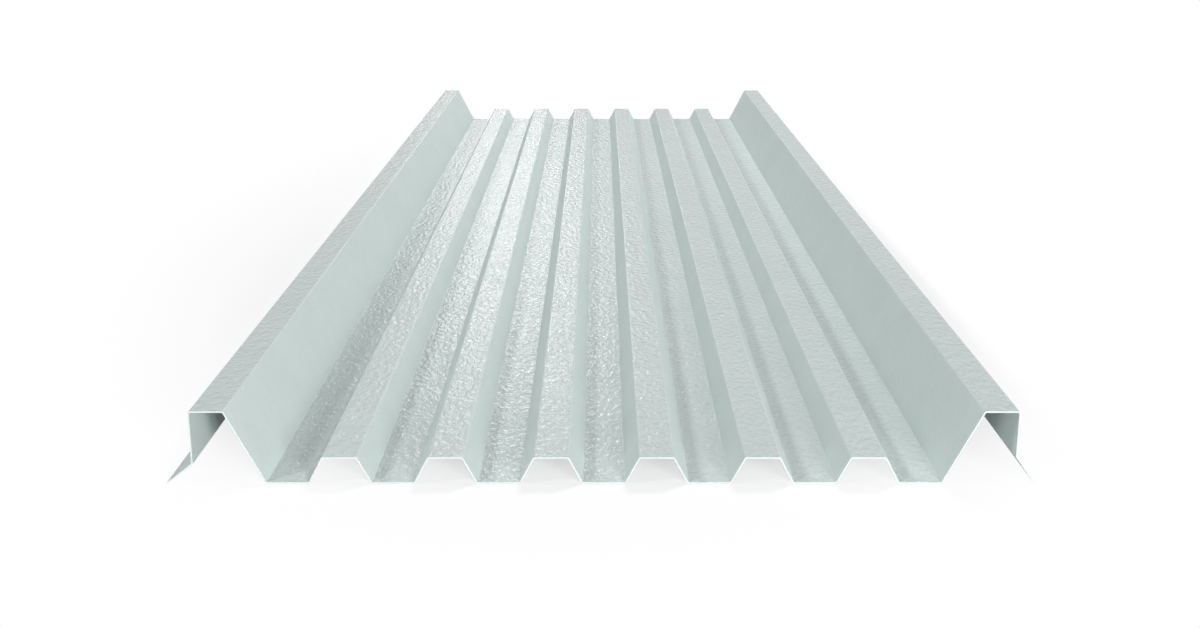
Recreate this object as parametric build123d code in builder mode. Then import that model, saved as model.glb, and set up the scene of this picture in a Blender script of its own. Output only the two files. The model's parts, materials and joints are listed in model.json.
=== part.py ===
import os

from build123d import *

# Corrugated roofing sheet of glass-fibre reinforced polyester, moulded in one piece.
# A single section runs the whole length: a tall lap rib at each side, a row of low
# ribs between them, and a lap flap turned outwards past each tall rib.
# X runs across the sheet, Y along its ribs and Z up. The origin is the middle of the
# underside of the centre valley, so the valleys lie on the level Z = 0.

# Whole sheet
sheet_length = 2440.0
cover_width = 780.0  # between the centres of the two tall ribs
sheet_thickness = 1.5
bend_radius = 2.0  # of every fold, at the middle of the thickness

# Tall lap ribs: an upright outer side and a leaning inner side
tall_rib_height = 76.0  # from the underside of the valleys to the top of the crown
tall_rib_crown = 34.0
tall_rib_lean = 38.0  # sideways run of the inner side

# Low ribs, alike on both sides
low_rib_count = 6
low_rib_height = 28.0
low_rib_crown = 34.0
low_rib_lean = 14.0

# Lap flaps: how far each reaches outwards and falls below the foot of its tall rib
left_flap_reach = 26.0
left_flap_drop = 20.0
right_flap_reach = 20.0
right_flap_drop = 28.0

# Levels of the middle of the thickness
valley_level = sheet_thickness / 2
tall_crown_level = tall_rib_height - sheet_thickness / 2
low_crown_level = low_rib_height - sheet_thickness / 2

# The pan is what lies between the tall ribs; its valleys share what the low ribs leave
crown_outside = (cover_width + tall_rib_crown) / 2
crown_inside = (cover_width - tall_rib_crown) / 2
pan_side = crown_inside - tall_rib_lean
low_rib_foot = low_rib_crown + 2 * low_rib_lean
valley_width = (2 * pan_side - low_rib_count * low_rib_foot) / (low_rib_count + 1)
low_rib_pitch = low_rib_foot + valley_width

# Corners of the section, from the left flap's edge to the right flap's edge
left_side = [
    (-crown_outside - left_flap_reach, valley_level),
    (-crown_outside, valley_level + left_flap_drop),
    (-crown_outside, tall_crown_level),
    (-crown_inside, tall_crown_level),
    (-pan_side, valley_level),
]

low_ribs = []
for number in range(low_rib_count):
    middle = low_rib_pitch * (number - (low_rib_count - 1) / 2)
    low_ribs += [
        (middle - low_rib_foot / 2, valley_level),
        (middle - low_rib_crown / 2, low_crown_level),
        (middle + low_rib_crown / 2, low_crown_level),
        (middle + low_rib_foot / 2, valley_level),
    ]

right_side = [
    (pan_side, valley_level),
    (crown_inside, tall_crown_level),
    (crown_outside, tall_crown_level),
    (crown_outside, valley_level + right_flap_drop),
    (crown_outside + right_flap_reach, valley_level),
]

with BuildPart() as sheet:
    with BuildSketch(Plane.XZ):
        with BuildLine():
            FilletPolyline(*left_side, *low_ribs, *right_side, radius=bend_radius)
        trace(line_width=sheet_thickness)
    extrude(amount=sheet_length / 2, both=True)

sheet.part.label = "polyester_sheet"

os.makedirs("parts", exist_ok=True)
export_step(sheet.part, "parts/polyester_sheet.step")
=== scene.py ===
import json

import bpy
import numpy as np
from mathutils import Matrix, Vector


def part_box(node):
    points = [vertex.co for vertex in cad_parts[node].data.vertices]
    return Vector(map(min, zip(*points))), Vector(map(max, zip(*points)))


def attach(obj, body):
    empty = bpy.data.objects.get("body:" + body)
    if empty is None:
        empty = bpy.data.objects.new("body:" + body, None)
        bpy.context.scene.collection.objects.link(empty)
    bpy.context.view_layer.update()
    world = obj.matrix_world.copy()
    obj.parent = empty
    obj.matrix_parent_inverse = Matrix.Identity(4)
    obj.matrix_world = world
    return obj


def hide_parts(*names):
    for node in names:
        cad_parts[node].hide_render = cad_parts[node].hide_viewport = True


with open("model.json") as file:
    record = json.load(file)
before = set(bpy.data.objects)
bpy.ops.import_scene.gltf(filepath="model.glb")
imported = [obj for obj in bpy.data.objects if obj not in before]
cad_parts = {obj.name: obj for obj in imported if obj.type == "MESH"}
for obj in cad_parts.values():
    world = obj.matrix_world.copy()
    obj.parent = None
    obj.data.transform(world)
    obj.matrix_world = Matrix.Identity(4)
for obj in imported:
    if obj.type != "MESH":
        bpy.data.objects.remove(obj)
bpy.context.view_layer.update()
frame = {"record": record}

# Camera
# It stands 1.3 m in front of the sheet's near end and a little over half a metre up, and
# looks along the ribs and down.
SENSOR_WIDTH = 36.0
FOCAL_LENGTH = 43.13
CAMERA_PLACE = (-0.004, -2.543, 0.558)
LOOKS_DOWN = np.radians(16.14)

camera = bpy.data.objects.new("camera", bpy.data.cameras.new("camera"))
camera.data.sensor_width = SENSOR_WIDTH
camera.data.lens = FOCAL_LENGTH
camera.data.clip_end = 100
camera.location = CAMERA_PLACE
camera.rotation_euler = (np.pi / 2 - LOOKS_DOWN, 0, 0)
bpy.context.scene.collection.objects.link(camera)
bpy.context.scene.camera = camera
bpy.context.scene.view_settings.view_transform = "Standard"

# The sheet
# One piece of glass-fibre reinforced polyester, about 1.5 mm thick. Chopped strands are
# soaked in resin between two films, drawn through shaping rollers while it cures, and
# cut to length, which leaves a crinkled gloss on both faces and dry, dull cut edges.
BEND_RADIUS = 0.002  # at the middle of the thickness
TALL_CROWN, TALL_LEAN = 0.034, 0.038  # width of the top and of the slope beside it
LOW_CROWN, LOW_LEAN = 0.034, 0.014
LEFT_FLAP, RIGHT_FLAP = (0.026, 0.020), (0.020, 0.028)  # reach and drop
BEND_STEPS = 5
FLAT_STEP = 0.009
SUPPORT = 0.0012  # how near a flat's last lines lie to its bends
STATION = 0.0175
END_STATIONS = (0.0002, 0.004)  # extra stations, this far from each end
SAG_DEPTH = 0.00012  # the flats are never quite flat
SAG_LENGTH = 0.11
SAG_WAVES = 7
SAG_FADE = 0.012  # from a bend to where a flat sags fully
END_FADE = 0.05  # the same from a cut end
FLAT_FROM, FLAT_FULL = 0.9, 0.99  # upward part of a normal, from sloping to level
# Bundles of strands are really about 1 mm wide and the film's wrinkles 2 to 3 mm, too fine
# to show from the camera, so both are drawn coarser.
STRAND = (0.045, 0.0016)  # length and width
STRAND_HEADINGS = (0.4, 1.3, 2.5)
CLOUD = 0.08  # across a thicker or thinner patch of resin
WRINKLE = 0.0066  # across the largest, with others a half and a quarter as wide
WRINKLE_DRAW = 0.58  # how many lie along a length for each one across it
WRINKLE_DEPTH = 0.0019

places = {m["name"]: np.array(m["pos_m"]) for m in frame["record"]["mounts"]}
low, high = (np.array(corner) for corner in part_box("polyester_sheet"))
thickness = places["right_lap_top"][2] - places["right_lap_underside"][2]
low_middles = [places[name][0] for name in sorted(places) if name.startswith("low_crown")]


def corner_line():
    """Corners of the mid-thickness line, left to right: the left flap and tall rib, each low
    rib as foot, crown, crown, foot, and the right tall rib and flap."""
    floor = thickness / 2
    tall_top = places["right_lap_top"][2] - floor
    low_top = places["low_crown_1"][2] - floor
    rib = places["right_lap_top"][0]
    outside, inside = rib + TALL_CROWN / 2, rib - TALL_CROWN / 2
    foot = inside - TALL_LEAN
    line = [(-outside - LEFT_FLAP[0], floor), (-outside, floor + LEFT_FLAP[1]),
            (-outside, tall_top), (-inside, tall_top), (-foot, floor)]
    for middle in low_middles:
        for side, level in ((-1, floor), (-1, low_top), (1, low_top), (1, floor)):
            lean = LOW_LEAN if level == floor else 0
            line.append((middle + side * (LOW_CROWN / 2 + lean), level))
    line += [(foot, floor), (inside, tall_top), (outside, tall_top),
             (outside, floor + RIGHT_FLAP[1]), (outside + RIGHT_FLAP[0], floor)]
    return np.array(line)


def bent_line(corners):
    """The line with every corner rounded. Each bend is an arc: from its start the point goes
    radius * (sin a) along the run before it and radius * (1 - cos a) to the side, for a from
    zero to the turn. Flats between bends get evenly spaced points. Returns the points, the
    upward normals and how far each point is from the nearest bend."""
    run = np.diff(corners, axis=0)
    length = np.linalg.norm(run, axis=1)
    ahead = run / length[:, None]
    left = np.stack([-ahead[:, 1], ahead[:, 0]], 1)
    turn = np.arctan2(ahead[:-1, 0] * ahead[1:, 1] - ahead[:-1, 1] * ahead[1:, 0],
                      (ahead[:-1] * ahead[1:]).sum(1))
    cut = BEND_RADIUS * np.tan(abs(turn) / 2)
    share = np.linspace(0, 1, BEND_STEPS + 1)
    angle = turn[:, None] * share
    start = corners[1:-1] - ahead[:-1] * cut[:, None]
    forward = BEND_RADIUS * np.sin(abs(angle))
    aside = BEND_RADIUS * (1 - np.cos(angle)) * np.sign(turn)[:, None]
    arcs = (start[:, None] + forward[..., None] * ahead[:-1, None] + aside[..., None] * left[:-1, None])
    arc_normals = (np.cos(angle)[..., None] * left[:-1, None] - np.sin(angle)[..., None] * ahead[:-1, None])
    from_cut = np.concatenate([[0], cut])
    to_cut = np.concatenate([cut, [0]])
    points, normals, gaps = [], [], []
    for i in range(len(run)):
        flat = length[i] - from_cut[i] - to_cut[i]
        inner = np.linspace(SUPPORT, flat - SUPPORT, max(2, int(round(flat / FLAT_STEP))))
        if i == 0:
            inner = np.concatenate([[0], inner])
        if i == len(run) - 1:
            inner = np.concatenate([inner, [flat]])
        points.append(corners[i] + ahead[i] * (from_cut[i] + inner)[:, None])
        normals.append(np.repeat(left[i][None], len(inner), 0))
        gaps.append(np.minimum(inner, flat - inner))
        if i < len(arcs):
            points.append(arcs[i])
            normals.append(arc_normals[i])
            gaps.append(np.zeros(BEND_STEPS + 1))
    return np.concatenate(points), np.concatenate(normals), np.concatenate(gaps)


def waviness(x, y):
    """Shallow hollows and swells of the flats: a sum of sine waves in different directions,
    each about SAG_LENGTH long, scaled to stay within SAG_DEPTH either way."""
    draw = np.random.default_rng(4)
    total = 0
    for _ in range(SAG_WAVES):
        heading = draw.uniform(0, np.pi)
        number = 2 * np.pi / (SAG_LENGTH * draw.uniform(0.6, 1.8))
        total = total + np.sin(number * (np.cos(heading) * x + np.sin(heading) * y) + draw.uniform(0, 6.3))
    return SAG_DEPTH * total / SAG_WAVES


def sheet_surface():
    """Both faces of the sheet as one closed surface: the bent line, set off by half the
    thickness to each side, carried from the near end to the far end. Raised flats sink and
    valleys rise by the waviness plus its depth, less towards bends and ends, so all of it
    stays within the solid's box. Returns the points, the four-sided faces, each point's
    distance across and along the unrolled sheet, how level it lies from 0 to 1, and which
    faces are cut edges."""
    line, normal, gap = bent_line(corner_line())
    stations = np.linspace(low[1], high[1], int(round((high[1] - low[1]) / STATION)) + 1)
    nearby = np.array(END_STATIONS)
    stations = np.sort(np.concatenate([stations, low[1] + nearby, high[1] - nearby]))
    loop = np.concatenate([line + normal * thickness / 2, (line - normal * thickness / 2)[::-1]])
    loop_normal = np.concatenate([normal, normal[::-1]])
    loop_gap = np.concatenate([gap, gap[::-1]])
    step = np.concatenate([[0], np.cumsum(np.linalg.norm(np.diff(line, axis=0), axis=1))])
    across = np.concatenate([step, step[::-1]])
    y, _ = np.meshgrid(stations, loop[:, 0], indexing="ij")
    inner = np.clip(loop_gap / SAG_FADE, 0, 1) ** 2
    ends = np.clip((y - low[1]) / END_FADE, 0, 1) * np.clip((high[1] - y) / END_FADE, 0, 1)
    inward = np.where(loop[:, 1] > 2 * thickness, -1, 1)
    push = (waviness(across[None], y) + SAG_DEPTH) * (inner * inward)[None] * ends
    flat = np.clip((loop_normal[:, 1] - FLAT_FROM) / (FLAT_FULL - FLAT_FROM), 0, 1)
    x = loop[None, :, 0] + push * loop_normal[None, :, 0]
    z = loop[None, :, 1] + push * loop_normal[None, :, 1]
    verts = np.stack([x, y, z], -1).reshape(-1, 3)
    rows, cols = len(stations), len(loop)
    a = np.arange(rows - 1)[:, None] * cols
    b = np.arange(cols)[None]
    c = (b + 1) % cols
    walls = np.stack([a + b, a + c, a + cols + c, a + cols + b], -1).reshape(-1, 4)
    half = cols // 2
    i = np.arange(half - 1)
    near = np.stack([i, cols - 1 - i, cols - 2 - i, i + 1], -1)
    far = near[:, ::-1] + (rows - 1) * cols
    uv = np.stack([np.broadcast_to(across, (rows, cols)), y], -1).reshape(-1, 2)
    cut = np.zeros(len(walls) + 2 * len(near), bool)
    cut[len(walls):] = True
    column = np.tile(np.arange(cols), rows - 1)
    cut[:len(walls)] = (column == half - 1) | (column == cols - 1)
    return verts, np.concatenate([walls, near, far]), uv, np.tile(flat, rows), cut


def add_mesh(name, verts, faces):
    """A mesh of four-sided faces, filled from whole arrays."""
    mesh = bpy.data.meshes.new(name)
    mesh.vertices.add(len(verts))
    mesh.vertices.foreach_set("co", verts.astype(np.float32).ravel())
    mesh.loops.add(faces.size)
    mesh.loops.foreach_set("vertex_index", faces.ravel().astype(np.int32))
    mesh.polygons.add(len(faces))
    mesh.polygons.foreach_set("loop_start", np.arange(0, faces.size, 4, dtype=np.int32))
    mesh.update(calc_edges=True)
    thing = bpy.data.objects.new(name, mesh)
    bpy.context.scene.collection.objects.link(thing)
    return thing


def linear(code):
    """An sRGB hex colour as linear red, green, blue and full alpha."""
    share = np.array([int(code[i:i + 2], 16) for i in (1, 3, 5)]) / 255
    return (*np.where(share <= 0.04045, share / 12.92, ((share + 0.055) / 1.055) ** 2.4), 1)


def node(tree, kind, settings=None, links=None):
    """Adds a shader node, with its properties and socket values by name and its links in."""
    made = tree.nodes.new(kind)
    for key, value in (settings or {}).items():
        if isinstance(key, int) or key in made.inputs:
            made.inputs[key].default_value = value
        else:
            setattr(made, key, value)
    for key, source in (links or {}).items():
        tree.links.new(source, made.inputs[key])
    return made


def new_material(name):
    """An empty material and its node tree."""
    material = bpy.data.materials.new(name)
    material.use_nodes = True
    material.node_tree.nodes.clear()
    return material, material.node_tree


def reinforced_polyester():
    """Glass-fibre reinforced polyester, filled to a pale grey-green. Bundles of glass strands
    and the uneven depth of resin over them show as faint streaks and clouds. The film that
    it cured against leaves a fine crinkled gloss on the level faces, drawn out along the
    sheet, and a duller, smoother skin on the slopes."""
    material, tree = new_material("glass_reinforced_polyester")
    place = node(tree, "ShaderNodeTexCoord").outputs["Object"]
    unrolled = node(tree, "ShaderNodeUVMap", {"uv_map": "unrolled"}).outputs["UV"]
    streaks = None
    for heading in STRAND_HEADINGS:
        along = node(tree, "ShaderNodeMapping",
                     {"vector_type": "TEXTURE", "Rotation": (0, 0, heading), "Scale": (*STRAND, 1)},
                     {"Vector": unrolled})
        bundle = node(tree, "ShaderNodeTexNoise", {"noise_dimensions": "2D", "Scale": 1, "Detail": 1},
                      {"Vector": along.outputs[0]})
        bundle = node(tree, "ShaderNodeMapRange", {"interpolation_type": "SMOOTHSTEP", 1: 0.5, 2: 0.75},
                      {0: bundle.outputs["Fac"]})
        if streaks is None:
            streaks = bundle.outputs["Result"]
        else:
            streaks = node(tree, "ShaderNodeMath", {"operation": "MAXIMUM"},
                           {0: streaks, 1: bundle.outputs["Result"]}).outputs[0]
    cloud = node(tree, "ShaderNodeTexNoise", {"Scale": 1 / CLOUD, "Detail": 2}, {"Vector": place})
    shade = node(tree, "ShaderNodeMath", {"operation": "MULTIPLY_ADD", 1: 0.5},
                 {0: streaks, 2: cloud.outputs["Fac"]})
    resin = node(tree, "ShaderNodeMix", {"data_type": "RGBA", 6: linear("#CBD6D4"), 7: linear("#C1CDCB")},
                 {0: shade.outputs[0]})
    drawn = node(tree, "ShaderNodeMapping", {"Scale": (1, WRINKLE_DRAW, 1)}, {"Vector": place})
    crinkle = node(tree, "ShaderNodeTexNoise",
                   {"Scale": 1 / WRINKLE, "Detail": 2, "Roughness": 0.55, "Distortion": 0.3},
                   {"Vector": drawn.outputs[0]})
    flat = node(tree, "ShaderNodeAttribute", {"attribute_name": "flat"})
    bump = node(tree, "ShaderNodeBump", {"Distance": WRINKLE_DEPTH},
                {"Height": crinkle.outputs["Fac"], "Strength": flat.outputs["Fac"]})
    gloss = node(tree, "ShaderNodeMapRange", {3: 0.5, 4: 0.1}, {0: flat.outputs["Fac"]})
    skin = node(tree, "ShaderNodeBsdfPrincipled", {"IOR": 1.5},
                {"Base Color": resin.outputs[2], "Normal": bump.outputs["Normal"],
                 "Roughness": gloss.outputs["Result"]})
    node(tree, "ShaderNodeOutputMaterial", links={"Surface": skin.outputs[0]})
    return material


def cut_edge():
    """The sawn edge: dry glass strands and resin dust, much duller than the faces, so it
    catches the front light as a pale line."""
    material, tree = new_material("cut_polyester_edge")
    skin = node(tree, "ShaderNodeBsdfPrincipled",
                {"Base Color": linear("#C0C9C7"), "Roughness": 0.6, "IOR": 1.5})
    node(tree, "ShaderNodeOutputMaterial", links={"Surface": skin.outputs[0]})
    return material


verts, faces, uv, flat, cut = sheet_surface()
sheet = add_mesh("polyester_sheet_skin", verts, faces)
sheet.data.materials.append(reinforced_polyester())
sheet.data.materials.append(cut_edge())
sheet.data.polygons.foreach_set("material_index", cut.astype(np.int32))
sheet.data.polygons.foreach_set("use_smooth", ~cut)
sheet.data.attributes.new("flat", "FLOAT", "POINT").data.foreach_set("value", flat.astype(np.float32))
unrolled = sheet.data.uv_layers.new(name="unrolled")
unrolled.data.foreach_set("uv", uv[faces.ravel()].astype(np.float32).ravel())
sheet.data.update()
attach(sheet, "root")
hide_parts("polyester_sheet")

# Floor and light
# A white studio: a level matt floor that keeps the sheet's shadow and is lifted to plain
# white away from it, soft boxes to the left and in front, and a key light at the back
# right. Small lamps low behind the sheet make the glints in its crinkled gloss.
FLOOR_HALF = 14.0
FLOOR_DROP = 0.0003  # the sheet's lowest faces lie this far over it
SHADOW_OVAL = (0.9, 1.7)  # half its width and length; it fades to white from 0.5 to 0.9 of them
SHEEN = 0.5  # of the white surroundings in the sheet's gloss
GLINTS = ((-8, 13, 0.9), (-6, 13, 0.75), (-4, 13, 0.62), (0, 13, 0.45),  # azimuth, elevation, watts
          (-8, 20, 0.8), (-5, 20, 1.1), (-2, 20, 0.6), (-6, 8, 0.6), (-3, 8, 0.5))
GLINT_SIZE, GLINT_DISTANCE = 0.3, 6

corners = np.array([(-1, -1), (1, -1), (1, 1), (-1, 1)]) * FLOOR_HALF
floor = add_mesh("floor", np.column_stack([corners, np.full(4, -FLOOR_DROP)]), np.array([[0, 1, 2, 3]]))
material, tree = new_material("white_floor")
ray = node(tree, "ShaderNodeLightPath")
seen = node(tree, "ShaderNodeMath", {"operation": "MULTIPLY_ADD", 1: SHEEN},
            {0: ray.outputs["Is Glossy Ray"], 2: ray.outputs["Is Camera Ray"]})
seen = node(tree, "ShaderNodeMath", {"operation": "MAXIMUM"},
            {0: seen.outputs[0], 1: ray.outputs["Is Transmission Ray"]})
middle = node(tree, "ShaderNodeVectorMath",
              {"operation": "MULTIPLY", 1: (1 / SHADOW_OVAL[0], 1 / SHADOW_OVAL[1], 1)},
              {0: node(tree, "ShaderNodeTexCoord").outputs["Object"]})
away = node(tree, "ShaderNodeVectorMath", {"operation": "LENGTH"}, {0: middle.outputs[0]})
lift = node(tree, "ShaderNodeMapRange", {"interpolation_type": "SMOOTHSTEP", 1: 0.5, 2: 0.9, 3: 0.3, 4: 1.0},
            {0: away.outputs["Value"]})
share = node(tree, "ShaderNodeMath", {"operation": "MULTIPLY"}, {0: seen.outputs[0], 1: lift.outputs[0]})
matt = node(tree, "ShaderNodeBsdfDiffuse", {"Color": linear("#F8F7F8")})
white = node(tree, "ShaderNodeEmission", {"Color": (1, 1, 1, 1), "Strength": 1.0})
both = node(tree, "ShaderNodeMixShader",
            links={0: share.outputs[0], 1: matt.outputs[0], 2: white.outputs[0]})
node(tree, "ShaderNodeOutputMaterial", links={"Surface": both.outputs[0]})
floor.data.materials.append(material)

world = bpy.data.worlds.new("studio")
bpy.context.scene.world = world
world.use_nodes = True
tree = world.node_tree
tree.nodes.clear()
ray = node(tree, "ShaderNodeLightPath")
level = node(tree, "ShaderNodeMath", {"operation": "MULTIPLY_ADD", 1: SHEEN},
             {0: ray.outputs["Is Glossy Ray"], 2: ray.outputs["Is Camera Ray"]})
level = node(tree, "ShaderNodeMath", {"operation": "MAXIMUM"},
             {0: level.outputs[0], 1: ray.outputs["Is Transmission Ray"]})
sky = node(tree, "ShaderNodeBackground", {"Color": (1, 1, 1, 1)}, {"Strength": level.outputs[0]})
node(tree, "ShaderNodeOutputWorld", links={"Surface": sky.outputs[0]})


def lamp(name, place, size, power):
    """A square white soft box at a place, turned to face the sheet's middle."""
    light = bpy.data.lights.new(name, "AREA")
    light.size = size
    light.energy = power
    thing = bpy.data.objects.new(name, light)
    thing.location = place
    tilt = np.arctan2(np.hypot(place[0], place[1]), place[2])
    thing.rotation_euler = (tilt, 0, np.arctan2(place[0], -place[1]))
    bpy.context.scene.collection.objects.link(thing)


def from_side(azimuth, elevation, distance):
    """A place seen from the sheet's middle: azimuth from +Y towards +X, in degrees."""
    a, e = np.radians((azimuth, elevation))
    return np.array([np.sin(a) * np.cos(e), np.cos(a) * np.cos(e), np.sin(e)]) * distance


lamp("left", from_side(-90, 40, 12), 0.9, 300)
lamp("front_left", from_side(-120, 41, 12), 0.9, 352)
lamp("low_front_left", from_side(-150, 8, 12), 2.4, 335)
lamp("front_right", from_side(163, 12, 5), 1.0, 111)
lamp("low_front_right", from_side(150, 8, 12), 2.4, 392)
lamp("key", from_side(45, 56.6, 4), 1.0, 124)
for azimuth, elevation, power in GLINTS:
    lamp("glint", from_side(azimuth, elevation, GLINT_DISTANCE), GLINT_SIZE, power)
